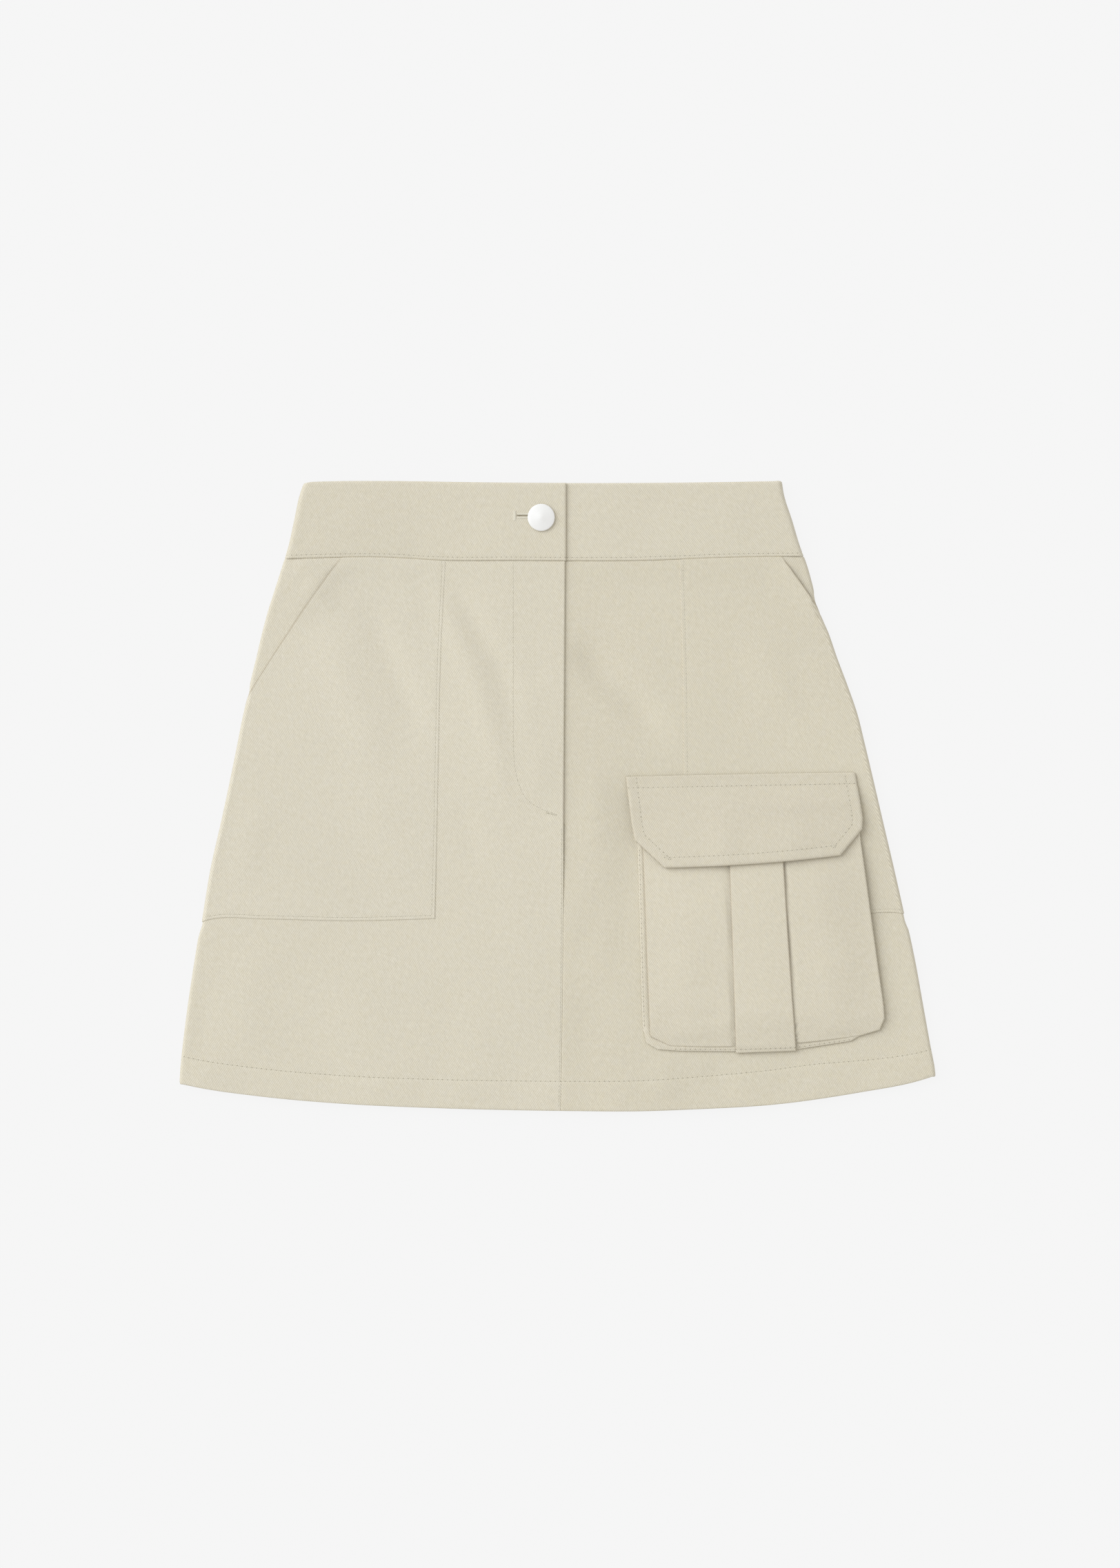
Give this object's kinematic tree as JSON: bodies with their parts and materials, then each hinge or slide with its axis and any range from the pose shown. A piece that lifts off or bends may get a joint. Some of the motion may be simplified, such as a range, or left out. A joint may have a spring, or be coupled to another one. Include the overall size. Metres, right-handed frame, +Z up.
{
  "type": "cargo utility skirt laid flat",
  "caption": "A-line mini skirt in cotton twill, laid flat: buttoned waistband, fly front, slanted patch pockets and a flapped bellows cargo pocket.",
  "frame": {"origin": "under the middle of the laid skirt, on the surface it lies on", "axes": "+X across the skirt to the viewer's right, +Y from the hem to the waistband, +Z up from the surface"},
  "size_m": [0.5004, 0.4171, 0.0185],
  "materials": {
    "front_left": "matt undyed-look beige cotton twill",
    "front_right": "matt undyed-look beige cotton twill",
    "back": "matt undyed-look beige cotton twill",
    "waistband": "matt undyed-look beige cotton twill, folded double",
    "patch_pocket_left": "matt undyed-look beige cotton twill",
    "patch_pocket_right": "matt undyed-look beige cotton twill",
    "cargo_gusset": "matt undyed-look beige cotton twill",
    "cargo_pocket_front": "matt undyed-look beige cotton twill",
    "cargo_box_pleat": "matt undyed-look beige cotton twill",
    "cargo_flap": "matt undyed-look beige cotton twill, two layers",
    "button": "satin silver",
    "button_tack": "satin silver"
  },
  "bodies": {
    "root": {"front_left": "front_left", "front_right": "front_right", "back": "back", "waistband": "waistband", "patch_pocket_left": "patch_pocket_left", "patch_pocket_right": "patch_pocket_right", "cargo_gusset": "cargo_gusset", "cargo_pocket_front": "cargo_pocket_front", "cargo_box_pleat": "cargo_box_pleat", "cargo_flap": "cargo_flap", "button": "button", "button_tack": "button_tack"}
  },
  "joints": []
}
